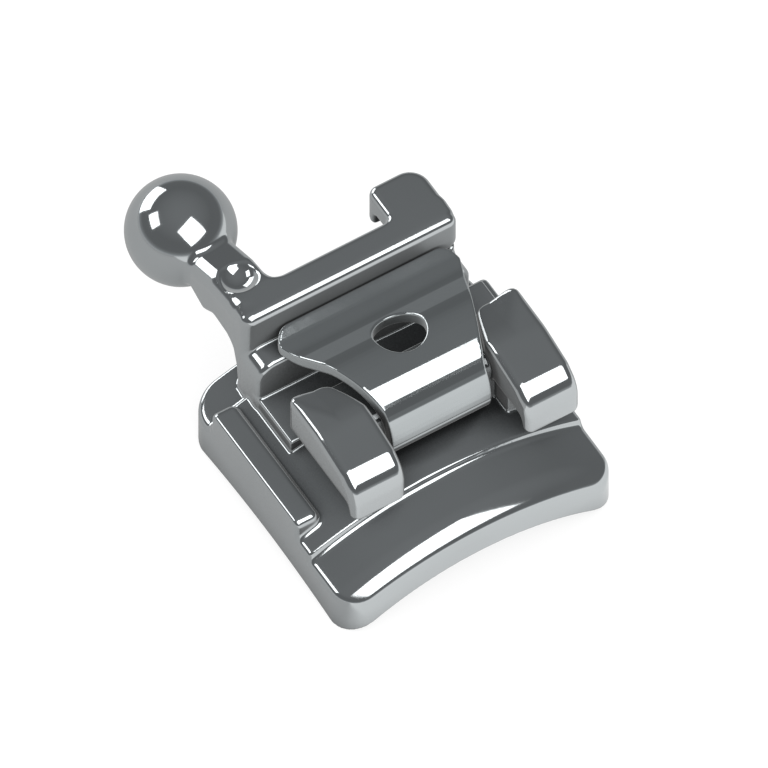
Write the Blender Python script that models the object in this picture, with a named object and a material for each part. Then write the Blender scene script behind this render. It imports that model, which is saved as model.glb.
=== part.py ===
# Self-ligating orthodontic bracket with a ball hook: one cast body and one formed spring clip.
# All sizes are in millimetres. The finished meshes are scaled to metres at the very end.
# X runs along the archwire slot, Y from the clip's front to the ball hook, Z away from the tooth.
# The origin is under the middle of the pad, on the plane that the pad's four lower corners touch.

import math

import bmesh
import bpy
from mathutils import Matrix, Vector

MM = 0.001  # metres in a millimetre

# Archwire slot
SLOT_WIDTH = 0.56  # the usual 0.022 inch
SLOT_NEAR_Y = 0.38
SLOT_FLOOR_Z = 0.98
SLOT_END_OVERRUN = 0.085  # how far the slot's floor runs nearer than its near wall, at its ends

# Bonding pad
PAD_LENGTH = 3.39
PAD_WIDTH = 3.235
PAD_CORNER_R = 0.35
PAD_TOOTH_RX = 3.14  # the tooth's curve along the slot
PAD_TOOTH_RY = 9.0  # the tooth's curve across the slot
PAD_TOP_Z = 0.93  # crown of the pad's upper face
PAD_TOP_RX = 3.4
PAD_NEAR_R = 0.34  # broad rounding along the upper near edge
PAD_EDGE_R = 0.06
PAD_RIM_R = 0.03

# Retention grooves in the pad's bonding face
GROOVE_COUNT = 5
GROOVE_PITCH = 0.52
GROOVE_WIDTH = 0.2
GROOVE_DEPTH = 0.05
GROOVE_DRAFT = 0.03

# Raised platform on the pad, and its two side rails
PLATFORM_TOP_Z = 0.985
PLATFORM_TOP_RX = 4.1
PLATFORM_NEAR_Y = -0.84
PLATFORM_FAR_Y = 1.16
PLATFORM_COVE = 0.09
PLATFORM_SINK = 0.02  # the cove starts this far under the pad's face
RAIL_WIDTH = 0.285
RAIL_TOP_Z = 0.9
RAIL_NEAR_Y = -0.6
RAIL_FAR_Y = 1.12
RAIL_EDGE_R = 0.035
RAIL_SLOPE = 0.07  # how far the rail's inner side leans out at its foot

# Body
ROOT_Z = 0.62  # the core's and the pedestals' feet, sunk in the pad
ROOT_DEPTH = 0.15  # how deep what follows the pad's upper face is sunk in it
OVERRUN = 0.1  # how far a shape runs on into the one that it joins, or past the one that it cuts
ABOVE_ALL = 3.0  # a height clear above the whole part, for what trims or cuts from above
BODY_X = 0.2  # the body stands off the pad's middle by this
BODY_HALF = 1.41
CORE_HALF = 1.2
CORE_FRONT_Y = -0.25
CORE_TOP_Z = 1.5
CORE_NOSE_R = 0.17
PEDESTAL_FRONT_Y = -0.5
PEDESTAL_TOP_Z = 1.3

# Near tie wings
WING_GAP_HALF = 0.735  # half the gap between the two wings, at their fronts
WING_FRONT_Y = -0.8925
WING_TOP_Z = 1.73
WING_CREST_Y = -0.25  # from here the top falls gently to the brow
WING_CREST_DROP = 0.01
WING_CREST_R = 0.6
WING_BROW_Z = 1.63  # top of the wing where its front starts to round over
WING_BROW_Y = -0.66
WING_BROW_R = 0.25
WING_FACE_TOP_Z = 1.45
WING_FACE_R = 0.12
WING_UNDER_Z = 1.17
WING_TIP_Z = 1.0
WING_TIP_DEPTH = 0.12
WING_TIP_LEAN = 0.05  # how far the tip's far face leans in towards its root
WING_CORNER_R = 0.12
WING_EDGE_R = 0.04

# Spring clip
CLIP_THICKNESS = 0.15
CLIP_FRONT_Y = -0.4525
CLIP_TIP_Y = 1.185
CLIP_TIP_Z = 1.72
CLIP_LIP_Y = 1.06  # here the tip turns up
CLIP_LIP_Z = 1.66
CLIP_CREASE_Y = 0.8
CLIP_CREASE_Z = 1.66
CLIP_HUMP_Y = 0.36
CLIP_HUMP_Z = 1.885
CLIP_SHOULDER_Z = 1.865
CLIP_FRONT_HALF = 0.617
CLIP_TIP_HALF = 1.187
CLIP_TIP_CORNER_R = 0.2
CLIP_TAPER_Y = -0.3  # from here the clip widens evenly to its tip
CLIP_LIP_R = 0.12
CLIP_CREASE_R = 0.45
CLIP_HUMP_R = 0.45
CLIP_UPPER_BEND_R = 0.585
CLIP_LOWER_BEND_R = 0.225
CLIP_TILT = math.radians(14.2)  # fall of the lower arm, and so the line that the clip slides on
CLIP_ARM_Z = 1.015  # height of the lower arm's middle line, carried on to the clip's front
CLIP_ARM_HALF = 0.5
CLIP_WAIST_Z = 1.18  # above this the clip has its upper plan, below it that of its lower arm
CLIP_TAIL_Y = 0.7
CLIP_EAR_HALF = 0.56
CLIP_EAR_LENGTH = 0.08
CLIP_SPLIT_WIDTH = 0.16
CLIP_SPLIT_LENGTH = 0.3
CLIP_TRAVEL = 0.84
PROBE_HOLE_D = 0.57
PROBE_HOLE_Y = 0.4
CLEARANCE = 0.02  # running gap round the clip
SIDE_GAP = 0.045  # gap between the clip's edges and what stands beside it

# Far bar, its post and the ledge that the clip's tip reaches over
BAR_LEFT_X = -1.215
BAR_RIGHT_X = 1.435
BAR_TOP_Z = 2.03
BAR_NEAR_Y = 1.21
BAR_FAR_Y = 1.5925
BAR_EDGE_R = 0.05
BAR_BROW_R = 0.15  # along its upper near edge
BAR_END_R = 0.12  # its upright near corners
BAR_CORNER_R = 0.13
BAR_HEEL_Z = 1.42  # the bar's far face starts here, above the post's hollow
BAR_LEAN = 0.02
LEDGE_Z = 1.5
LEDGE_END_R = 0.16
POST_RIGHT_X = 1.415
POST_FAR_Y = 1.42
POST_ROOT_Z = 0.52
POST_WAIST_Z = 1.07
POST_LEAN = 0.055
POST_WAIST_R = 0.3

# Far tie wing, at the bar's right end
FAR_WING_LENGTH = 0.64
FAR_WING_Y = 2.05
FAR_WING_TIP_Z = 1.53
FAR_WING_TIP_DEPTH = 0.17
FAR_WING_UNDER_Z = 1.74
FAR_WING_TIP_R = 0.06
FAR_WING_R = 0.11
FAR_WING_CORNER_R = 0.24
FAR_WING_FILLET_R = 0.16

# Ball hook, at the bar's left end
BALL_D = 1.2
BALL_X = -0.96
BALL_Y = 2.9075
BALL_Z = 1.53
ARM_WIDTH = 0.56
ARM_SHOULDER_Y = 1.97  # the arm's top falls gently to here, then steeply to the neck
ARM_SHOULDER_Z = 1.97
ARM_SHOULDER_R = 0.2
ARM_NECK_Y = 2.34
ARM_NECK_TOP_Z = 1.67
ARM_NECK_UNDER_Z = 1.33
ARM_NECK_TAPER = 0.08
ARM_NECK_R = 0.13
ARM_BELLY_Y = 1.85
ARM_BELLY_Z = 1.37
ARM_HEEL_Y = 2.06
ARM_HEEL_Z = 1.22
ARM_HEEL_R = 0.08
ARM_FILLET_R = 0.26
DIMPLE_D = 0.43
DIMPLE_Y = 1.82
DIMPLE_DEPTH = 0.13

# Facets
ARC_STEP = math.radians(18)
PAD_COLUMNS = 18
CLIP_COLUMNS = 14
MERGE = 0.0005
SHARP_ANGLE = math.radians(35)
FLAT_ANGLE = math.radians(0.5)

# Colours, from bright polished steel
BODY_COLOUR = (0.55, 0.56, 0.56, 1.0)
CLIP_COLOUR = (0.5, 0.51, 0.52, 1.0)
BODY_ROUGHNESS = 0.12
CLIP_ROUGHNESS = 0.1

SLOT_FAR_Y = SLOT_NEAR_Y + SLOT_WIDTH
TILT_RISE = math.tan(CLIP_TILT)
BAR_SEAM_Y = BAR_FAR_Y - BAR_EDGE_R  # the far wing and the hook arm leave the bar from this line


def sag(distance, radius):
    """Fall of a round surface at a distance from its crown."""
    return radius - math.sqrt(radius * radius - distance * distance)


def arc(centre, radius, start, end, step=ARC_STEP):
    """Points on a circle from one angle to another, both included."""
    steps = max(1, math.ceil(abs(end - start) / step))
    points = []
    for i in range(steps + 1):
        angle = start + (end - start) * i / steps
        points.append((centre[0] + radius * math.cos(angle), centre[1] + radius * math.sin(angle)))
    return points


def round_corner(before, corner, after, radius):
    """The points of a fillet between two straight runs that meet at a corner."""
    here = Vector(corner)
    back = (Vector(before) - here).normalized()
    ahead = (Vector(after) - here).normalized()
    half = back.angle(ahead) / 2
    reach = radius / math.tan(half)
    centre = here + (back + ahead).normalized() * (radius / math.sin(half))
    first = here + back * reach - centre
    last = here + ahead * reach - centre
    start = math.atan2(first.y, first.x)
    turn = math.atan2(last.y, last.x) - start
    turn = (turn + math.pi) % (2 * math.pi) - math.pi
    return arc((centre.x, centre.y), radius, start, start + turn)


def rounded_path(corners, closed):
    """A run of straight lines whose corners, given as (a, b, radius), are rounded."""
    points = []
    count = len(corners)
    for i, corner in enumerate(corners):
        ends = not closed and i in (0, count - 1)
        if len(corner) == 2 or ends:
            points.append(tuple(corner[:2]))
            continue
        before = corners[i - 1][:2]
        after = corners[(i + 1) % count][:2]
        points += round_corner(before, corner[:2], after, corner[2])
    return points


def outline(*corners):
    return rounded_path(corners, closed=True)


def new_object(name, bm):
    """Makes an object from a bmesh, with its faces pointing out."""
    bmesh.ops.recalc_face_normals(bm, faces=bm.faces)
    mesh = bpy.data.meshes.new(name)
    bm.to_mesh(mesh)
    bm.free()
    obj = bpy.data.objects.new(name, mesh)
    bpy.context.collection.objects.link(obj)
    return obj


def place(axis, a, b, along):
    """A profile's point (a, b) in space, at a distance along the axis that the profile runs on."""
    if axis == "X":
        return (along, a, b)
    if axis == "Y":
        return (a, along, b)
    return (a, b, along)


def prism(points, axis, low, high, name="solid"):
    """A profile extruded along an axis: (y, z) on X, (x, z) on Y and (x, y) on Z."""
    bm = bmesh.new()
    near = [bm.verts.new(place(axis, a, b, low)) for a, b in points]
    far = [bm.verts.new(place(axis, a, b, high)) for a, b in points]
    bm.faces.new(near)
    bm.faces.new(list(reversed(far)))
    count = len(points)
    for i in range(count):
        j = (i + 1) % count
        bm.faces.new((near[i], far[i], far[j], near[j]))
    return new_object(name, bm)


def draped_block(xs, ys, under, over, name="solid"):
    """A block over a grid of places, whose lower and upper faces follow two height functions."""
    bm = bmesh.new()
    low = [[bm.verts.new((x, y, under(x, y))) for y in ys] for x in xs]
    high = [[bm.verts.new((x, y, over(x, y))) for y in ys] for x in xs]
    for i in range(len(xs) - 1):
        for j in range(len(ys) - 1):
            for grid in (low, high):
                bm.faces.new((grid[i][j], grid[i + 1][j], grid[i + 1][j + 1], grid[i][j + 1]))
    for i in range(len(xs) - 1):
        for j in (0, -1):
            bm.faces.new((low[i][j], low[i + 1][j], high[i + 1][j], high[i][j]))
    for j in range(len(ys) - 1):
        for i in (0, -1):
            bm.faces.new((low[i][j], low[i][j + 1], high[i][j + 1], high[i][j]))
    return new_object(name, bm)


def spread(low, high, count):
    return [low + (high - low) * i / count for i in range(count + 1)]


def combine(obj, others, operation):
    """Joins, cuts or trims a solid by others, which are used up."""
    for other in others:
        modifier = obj.modifiers.new(operation, "BOOLEAN")
        modifier.operation = operation
        modifier.solver = "EXACT"
        modifier.object = other
        depsgraph = bpy.context.evaluated_depsgraph_get()
        result = bpy.data.meshes.new_from_object(obj.evaluated_get(depsgraph))
        obj.modifiers.clear()
        obj.data = result
        bpy.data.objects.remove(other, do_unlink=True)
    return obj


def join(obj, *others):
    return combine(obj, others, "UNION")


def cut(obj, *others):
    return combine(obj, others, "DIFFERENCE")


def trim(obj, *others):
    return combine(obj, others, "INTERSECT")


def pad_outline(inset=0.0):
    """The pad's rounded rectangle, with points along its straight sides for the curve to follow."""
    half_x = PAD_LENGTH / 2 - inset
    half_y = PAD_WIDTH / 2 - inset
    radius = PAD_CORNER_R - inset
    side_x = spread(radius - half_x, half_x - radius, PAD_COLUMNS // 2)
    side_y = spread(radius - half_y, half_y - radius, PAD_COLUMNS // 3)
    points = []
    for turn, side in ((0, side_y), (1, side_x), (2, side_y), (3, side_x)):
        centre_x = half_x - radius if turn in (0, 3) else radius - half_x
        centre_y = half_y - radius if turn in (0, 1) else radius - half_y
        points += arc((centre_x, centre_y), radius, turn * math.pi / 2, (turn + 1) * math.pi / 2)
        following = (turn + 1) % 4
        inner = side_x if following in (1, 3) else side_y
        inner = inner[1:-1]
        if following in (1, 2):
            inner = list(reversed(inner))
        for value in inner:
            if following == 1:
                points.append((value, half_y))
            elif following == 2:
                points.append((-half_x, value))
            elif following == 3:
                points.append((value, -half_y))
            else:
                points.append((half_x, value))
    return points


def tooth_fall(x, y):
    return sag(x, PAD_TOOTH_RX) + sag(y, PAD_TOOTH_RY)


PAD_UNDER_Z = max(tooth_fall(x, y) for x, y in pad_outline(PAD_RIM_R))  # the corners touch Z = 0


def pad_under(x, y):
    return PAD_UNDER_Z - tooth_fall(x, y)


def pad_top(x, y):
    past = max(0.0, PAD_NEAR_R - PAD_WIDTH / 2 - y)  # how far a place is out on the near rounding
    return PAD_TOP_Z - sag(x, PAD_TOP_RX) - sag(min(past, PAD_NEAR_R), PAD_NEAR_R)


def platform_top(x):
    return PLATFORM_TOP_Z - sag(x, PLATFORM_TOP_RX)


def make_pad():
    """The curved pad, as rings that step in from its outline over a rounded upper edge."""
    rings = []
    shares = (0.0, 0.25, 0.5, 0.75, 0.82, 0.88, 0.93, 0.97)
    inner_outline = pad_outline(PAD_EDGE_R)
    for share in shares:
        rings.append([(x * share, y * share, pad_under(x * share, y * share)) for x, y in inner_outline])
    rings.append([(x, y, pad_under(x, y)) for x, y in pad_outline(PAD_RIM_R)])
    rings.append([(x, y, pad_under(x, y) + PAD_RIM_R) for x, y in pad_outline()])
    for turn in spread(0, math.pi / 2, 3):
        inset = PAD_EDGE_R * (1 - math.cos(turn))
        drop = PAD_EDGE_R * (1 - math.sin(turn))
        rings.append([(x, y, pad_top(x, y) - drop) for x, y in pad_outline(inset)])
    for share in reversed(shares):
        rings.append([(x * share, y * share, pad_top(x * share, y * share)) for x, y in inner_outline])
    bm = bmesh.new()
    rows = []
    for ring in rings:
        if ring[0][:2] == ring[1][:2]:
            rows.append([bm.verts.new(ring[0])] * len(ring))
        else:
            rows.append([bm.verts.new(point) for point in ring])
    for lower, upper in zip(rows, rows[1:]):
        for i in range(len(lower)):
            j = (i + 1) % len(lower)
            corners = []
            for vert in (lower[i], lower[j], upper[j], upper[i]):
                if vert not in corners:
                    corners.append(vert)
            bm.faces.new(corners)
    return new_object("pad", bm)


def groove_stations(reach):
    """Places across the grooves, each with how far the groove is open there."""
    stations = [(-reach, 0.0)]
    for i in range(GROOVE_COUNT):
        middle = (i - (GROOVE_COUNT - 1) / 2) * GROOVE_PITCH
        half = GROOVE_WIDTH / 2
        stations += [(middle - half, 0.0), (middle - half + GROOVE_DRAFT, 1.0)]
        stations += [(middle + half - GROOVE_DRAFT, 1.0), (middle + half, 0.0)]
    stations.append((reach, 0.0))
    return stations


def make_grooves():
    """One cutter for two crossing sets of drafted grooves that follow the bonding face."""
    across_x = groove_stations(GROOVE_PITCH * GROOVE_COUNT / 2)
    across_y = groove_stations(GROOVE_PITCH * GROOVE_COUNT / 2)
    open_x = dict(across_x)
    open_y = dict(across_y)

    def over(x, y):
        share = max(open_x[x], open_y[y])
        return pad_under(x, y) - GROOVE_DEPTH + 2 * GROOVE_DEPTH * share

    return draped_block(
        [x for x, _ in across_x], [y for y, _ in across_y],
        lambda x, y: pad_under(x, y) - 3 * GROOVE_DEPTH,
        over, "groove_cutter",
    )


def make_platform():
    """The raised platform, which runs out into the pad in a cove at its near and far ends."""
    xs = spread(-PAD_LENGTH / 2, PAD_LENGTH / 2, PAD_COLUMNS)
    ys = [PLATFORM_NEAR_Y - PLATFORM_COVE]
    rises = [0.0]
    for turn in spread(0, math.pi / 2, 3)[1:]:
        ys.append(PLATFORM_NEAR_Y - PLATFORM_COVE * math.cos(turn))
        rises.append(1 - math.cos(turn) if turn < math.pi / 2 else 1.0)
    far = [(PLATFORM_FAR_Y, 1.0), (PLATFORM_FAR_Y + PLATFORM_COVE, 0.0)]
    ys += [y for y, _ in far]
    rises += [rise for _, rise in far]
    rise_at = dict(zip(ys, rises))

    def over(x, y):
        low = pad_top(x, y) - PLATFORM_SINK
        return low + (platform_top(x) - low) * rise_at[y]

    return draped_block(xs, ys, lambda x, y: pad_top(x, y) - ROOT_DEPTH, over, "platform")


def make_rail(side):
    """One side rail, flush with the pad's side, its inner face leaning out to its foot."""
    outer = PAD_LENGTH / 2
    inner = outer - RAIL_WIDTH
    foot = platform_top(inner) - ROOT_DEPTH
    profile = outline(
        (side * outer, foot - ROOT_DEPTH),
        (side * outer, RAIL_TOP_Z, RAIL_EDGE_R),
        (side * inner, RAIL_TOP_Z, RAIL_EDGE_R),
        (side * (inner - RAIL_SLOPE), foot),
    )
    rail = prism(profile, "Y", RAIL_NEAR_Y, RAIL_FAR_Y, "rail")
    low, high = sorted((side * outer, side * (inner - 2 * RAIL_SLOPE)))
    plan = outline(
        (low, RAIL_NEAR_Y, RAIL_EDGE_R),
        (high, RAIL_NEAR_Y, RAIL_EDGE_R),
        (high, RAIL_FAR_Y, RAIL_EDGE_R),
        (low, RAIL_FAR_Y, RAIL_EDGE_R),
    )
    return trim(rail, prism(plan, "Z", 0.0, ABOVE_ALL, "rail_plan"))


def wing_gap(y):
    """Half the gap between the near wings at a place along Y: it follows the clip's taper."""
    return max(WING_GAP_HALF, clip_half(y) + SIDE_GAP)


def clip_half(y):
    """Half the clip's width at a place along Y: even at the front, then widening to the tip."""
    share = max(0.0, (y - CLIP_TAPER_Y) / (CLIP_TIP_Y - CLIP_TAPER_Y))
    return CLIP_FRONT_HALF + (CLIP_TIP_HALF - CLIP_FRONT_HALF) * share


def make_near_wing(side):
    """A near tie wing: its side view extruded along the slot and trimmed to its plan."""
    view = outline(
        (SLOT_NEAR_Y, WING_UNDER_Z),
        (SLOT_NEAR_Y, WING_TOP_Z, WING_EDGE_R),
        (WING_CREST_Y, WING_TOP_Z - WING_CREST_DROP, WING_CREST_R),
        (WING_BROW_Y, WING_BROW_Z, WING_BROW_R),
        (WING_FRONT_Y, WING_FACE_TOP_Z, WING_FACE_R),
        (WING_FRONT_Y, WING_TIP_Z, WING_EDGE_R),
        (WING_FRONT_Y + WING_TIP_DEPTH, WING_TIP_Z, WING_EDGE_R),
        (WING_FRONT_Y + WING_TIP_DEPTH + WING_TIP_LEAN, WING_UNDER_Z, WING_EDGE_R),
    )
    low, high = sorted((BODY_X, BODY_X + side * BODY_HALF))
    wing = prism(view, "X", low, high, "near_wing")
    inner_edge = []
    for y in spread(SLOT_NEAR_Y, WING_FRONT_Y, 10):
        inner_edge.append((BODY_X + side * wing_gap(y), y))
    outer = BODY_X + side * BODY_HALF
    plan = inner_edge[:-1]
    plan += rounded_path([
        inner_edge[-2],
        (inner_edge[-1][0], WING_FRONT_Y, WING_EDGE_R),
        (outer, WING_FRONT_Y, WING_CORNER_R),
        (outer, SLOT_NEAR_Y, WING_EDGE_R),
        (inner_edge[0][0], SLOT_NEAR_Y),
    ], closed=False)[1:-1]
    return trim(wing, prism(plan, "Z", 0.0, ABOVE_ALL, "wing_plan"))


def make_clip_relief(side):
    """A cutter that lets the clip's broad tip pass over a near wing's inner edge."""
    under = CLIP_CREASE_Z - CLIP_THICKNESS - CLEARANCE
    near_y = CLIP_CREASE_Y - (WING_TOP_Z - under) / TILT_RISE
    shoulder_y = near_y + OVERRUN
    wall_y = SLOT_NEAR_Y + OVERRUN
    inner = CLIP_FRONT_HALF
    reach = clip_half(CLIP_TIP_Y - CLIP_TIP_CORNER_R) + SIDE_GAP
    plan = [
        (BODY_X + side * inner, near_y),
        (BODY_X + side * (WING_GAP_HALF + SIDE_GAP), near_y),
        (BODY_X + side * (clip_half(CLIP_CREASE_Y) + SIDE_GAP), shoulder_y),
        (BODY_X + side * reach, SLOT_NEAR_Y),
        (BODY_X + side * reach, wall_y),
        (BODY_X + side * inner, wall_y),
    ]
    bm = bmesh.new()
    low = [bm.verts.new((x, y, under + (CLIP_CREASE_Y - y) * TILT_RISE)) for x, y in plan]
    high = [bm.verts.new((x, y, ABOVE_ALL)) for x, y in plan]
    bm.faces.new(low)
    bm.faces.new(high)
    for i in range(len(plan)):
        j = (i + 1) % len(plan)
        bm.faces.new((low[i], low[j], high[j], high[i]))
    return new_object("relief_cutter", bm)


def arm_line(y):
    """Height of the lower arm's middle line at a place along Y."""
    return CLIP_ARM_Z - (y - CLIP_FRONT_Y - CLIP_THICKNESS / 2) * TILT_RISE


def cut_clip_passage(body):
    """One cutter: the open mouth for the clip's front, its arm's guide, and the ears' wider run."""
    reach = (CLIP_THICKNESS / 2 + CLEARANCE) / math.cos(CLIP_TILT)
    near = WING_FRONT_Y
    far = CLIP_TAIL_Y + CLEARANCE
    view = [
        (near, arm_line(near) - reach),
        (far, arm_line(far) - reach),
        (far, arm_line(far) + reach),
        (CORE_FRONT_Y, arm_line(CORE_FRONT_Y) + reach),
        (CORE_FRONT_Y, ABOVE_ALL),
        (near, ABOVE_ALL),
    ]
    shoulder = CLIP_TAIL_Y - CLIP_EAR_LENGTH - CLIP_TRAVEL * math.cos(CLIP_TILT) - CLEARANCE / 2
    mouth_half = CLIP_FRONT_HALF + 2 * SIDE_GAP
    guide_half = CLIP_ARM_HALF + CLEARANCE
    run_half = CLIP_EAR_HALF + CLEARANCE
    steps = [(near, mouth_half), (CORE_FRONT_Y, mouth_half), (CORE_FRONT_Y, guide_half)]
    steps += [(shoulder, guide_half), (shoulder, run_half), (far, run_half)]
    plan = [(BODY_X + half, y) for y, half in steps]
    plan += [(BODY_X - half, y) for y, half in reversed(steps)]
    passage = prism(view, "X", BODY_X - BODY_HALF, BODY_X + BODY_HALF, "passage_cutter")
    return cut(body, trim(passage, prism(plan, "Z", 0.0, ABOVE_ALL, "passage_plan")))


def make_core():
    """What carries the wings: the middle block, its pedestals, and the slot's floor."""
    core_view = outline(
        (CORE_FRONT_Y, ROOT_Z),
        (SLOT_NEAR_Y, ROOT_Z),
        (SLOT_NEAR_Y, CORE_TOP_Z, WING_EDGE_R),
        (CORE_FRONT_Y, CORE_TOP_Z, CORE_NOSE_R),
    )
    core = prism(core_view, "X", BODY_X - CORE_HALF, BODY_X + CORE_HALF, "core")
    pedestals = []
    for side in (-1, 1):
        low, high = sorted((BODY_X + side * (WING_GAP_HALF + SIDE_GAP), BODY_X + side * CORE_HALF))
        view = outline(
            (PEDESTAL_FRONT_Y, ROOT_Z),
            (SLOT_NEAR_Y, ROOT_Z),
            (SLOT_NEAR_Y, PEDESTAL_TOP_Z),
            (PEDESTAL_FRONT_Y, PEDESTAL_TOP_Z),
        )
        pedestals.append(prism(view, "X", low, high, "pedestal"))
    xs = spread(BODY_X - BODY_HALF, BODY_X + BODY_HALF, PAD_COLUMNS)
    ys = [SLOT_NEAR_Y - SLOT_END_OVERRUN, SLOT_FAR_Y + OVERRUN]
    floor = draped_block(
        xs, ys,
        lambda x, y: pad_top(x, y) - ROOT_DEPTH,
        lambda x, y: SLOT_FLOOR_Z,
        "slot_floor",
    )
    return join(core, *pedestals, floor)


def make_ledge():
    """The ledge over which the clip's tip reaches, its two ends rounded down to the slot."""
    view = outline(
        (BAR_LEFT_X, POST_ROOT_Z),
        (POST_RIGHT_X, POST_ROOT_Z),
        (POST_RIGHT_X, LEDGE_Z, LEDGE_END_R),
        (BAR_LEFT_X, LEDGE_Z, LEDGE_END_R),
    )
    return prism(view, "Y", SLOT_FAR_Y, BAR_NEAR_Y + BAR_END_R, "ledge")


def make_bar():
    """The far bar on its post: side view extruded along the slot, then trimmed to its ends."""
    view = outline(
        (BAR_NEAR_Y, POST_ROOT_Z),
        (POST_FAR_Y, POST_ROOT_Z),
        (POST_FAR_Y + POST_LEAN, POST_WAIST_Z, POST_WAIST_R),
        (BAR_FAR_Y - BAR_LEAN, BAR_HEEL_Z, POST_WAIST_R),
        (BAR_FAR_Y, BAR_TOP_Z, BAR_EDGE_R),
        (BAR_NEAR_Y, BAR_TOP_Z, BAR_BROW_R),
    )
    bar = prism(view, "X", BAR_LEFT_X, BAR_RIGHT_X, "bar")
    front = outline(
        (BAR_LEFT_X, POST_ROOT_Z),
        (POST_RIGHT_X, POST_ROOT_Z),
        (POST_RIGHT_X, LEDGE_Z),
        (BAR_RIGHT_X, LEDGE_Z, BAR_CORNER_R),
        (BAR_RIGHT_X, BAR_TOP_Z, BAR_EDGE_R),
        (BAR_LEFT_X, BAR_TOP_Z),
    )
    plan = outline(
        (BAR_LEFT_X, BAR_NEAR_Y, BAR_END_R),
        (BAR_RIGHT_X, BAR_NEAR_Y, BAR_END_R),
        (BAR_RIGHT_X, BAR_FAR_Y + OVERRUN),
        (BAR_LEFT_X, BAR_FAR_Y + OVERRUN),
    )
    return trim(
        bar,
        prism(front, "Y", BAR_NEAR_Y - OVERRUN, BAR_FAR_Y + OVERRUN, "bar_front"),
        prism(plan, "Z", 0.0, ABOVE_ALL, "bar_plan"),
    )


def make_far_wing():
    """The far tie wing at the bar's right end, its tip curled down like a hook."""
    inner_y = FAR_WING_Y - FAR_WING_TIP_DEPTH
    view = outline(
        (BAR_NEAR_Y + BAR_BROW_R, FAR_WING_UNDER_Z),
        (BAR_NEAR_Y + BAR_BROW_R, BAR_TOP_Z),
        (FAR_WING_Y, BAR_TOP_Z, FAR_WING_R),
        (FAR_WING_Y, FAR_WING_TIP_Z, FAR_WING_TIP_R),
        (inner_y, FAR_WING_TIP_Z, FAR_WING_TIP_R),
        (inner_y, FAR_WING_UNDER_Z, FAR_WING_TIP_R),
    )
    left = BAR_RIGHT_X - FAR_WING_LENGTH
    fillet_x = left - FAR_WING_FILLET_R
    wing = prism(view, "X", fillet_x - OVERRUN, BAR_RIGHT_X, "far_wing")
    plan = outline(
        (fillet_x - OVERRUN, BAR_NEAR_Y),
        (BAR_RIGHT_X, BAR_NEAR_Y),
        (BAR_RIGHT_X, FAR_WING_Y, FAR_WING_CORNER_R),
        (left, FAR_WING_Y, FAR_WING_R),
        (left, BAR_SEAM_Y, FAR_WING_FILLET_R),
        (fillet_x - OVERRUN, BAR_SEAM_Y),
    )
    return trim(wing, prism(plan, "Z", 0.0, ABOVE_ALL, "far_wing_plan"))


def make_hook_arm():
    """The arm from the bar's left end to the ball: side view extruded, then trimmed to its plan."""
    root_y = (BAR_NEAR_Y + BAR_FAR_Y) / 2
    ball_y = BALL_Y - BALL_D / 6
    view = outline(
        (root_y, LEDGE_Z),
        (root_y, ARM_HEEL_Z + OVERRUN),
        (ARM_BELLY_Y, ARM_BELLY_Z, ARM_HEEL_R),
        (ARM_HEEL_Y, ARM_HEEL_Z, ARM_HEEL_R),
        (ARM_NECK_Y, ARM_NECK_UNDER_Z, ARM_NECK_R),
        (ball_y, ARM_NECK_UNDER_Z + ARM_NECK_TAPER),
        (ball_y, ARM_NECK_TOP_Z),
        (ARM_NECK_Y, ARM_NECK_TOP_Z, ARM_NECK_R),
        (ARM_SHOULDER_Y, ARM_SHOULDER_Z, ARM_SHOULDER_R),
        (BAR_FAR_Y, BAR_TOP_Z),
        (root_y, BAR_TOP_Z),
    )
    right = BAR_LEFT_X + ARM_WIDTH
    fillet_x = right + ARM_FILLET_R
    arm = prism(view, "X", BAR_LEFT_X, fillet_x + OVERRUN, "hook_arm")
    plan = outline(
        (BAR_LEFT_X, BAR_NEAR_Y),
        (fillet_x + OVERRUN, BAR_NEAR_Y),
        (fillet_x + OVERRUN, BAR_SEAM_Y),
        (right, BAR_SEAM_Y, ARM_FILLET_R),
        (right, BALL_Y),
        (BAR_LEFT_X, BALL_Y),
    )
    return trim(arm, prism(plan, "Z", 0.0, ABOVE_ALL, "arm_plan"))


def ball_object(centre, diameter, segments, name):
    bm = bmesh.new()
    bmesh.ops.create_uvsphere(
        bm, u_segments=segments, v_segments=segments // 2, radius=diameter / 2,
        matrix=Matrix.Translation(centre) @ Matrix.Rotation(math.pi / 2, 4, "X"),
    )
    return new_object(name, bm)


def make_dimple():
    """A cutter for the shallow round dimple on the hook arm."""
    radius = ((DIMPLE_D / 2) ** 2 + DIMPLE_DEPTH**2) / (2 * DIMPLE_DEPTH)
    middle_x = BAR_LEFT_X + ARM_WIDTH / 2
    rim_z = BAR_TOP_Z - (BAR_TOP_Z - ARM_SHOULDER_Z) * (DIMPLE_Y - BAR_FAR_Y) / (ARM_SHOULDER_Y - BAR_FAR_Y)
    centre = (middle_x, DIMPLE_Y, rim_z + radius - DIMPLE_DEPTH)
    return ball_object(centre, 2 * radius, 28, "dimple_cutter")


def metal(name, colour, roughness):
    material = bpy.data.materials.new(name)
    material.use_nodes = True
    shader = material.node_tree.nodes["Principled BSDF"]
    shader.inputs["Base Color"].default_value = colour
    shader.inputs["Metallic"].default_value = 1.0
    shader.inputs["Roughness"].default_value = roughness
    material.diffuse_color = colour
    return material


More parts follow.
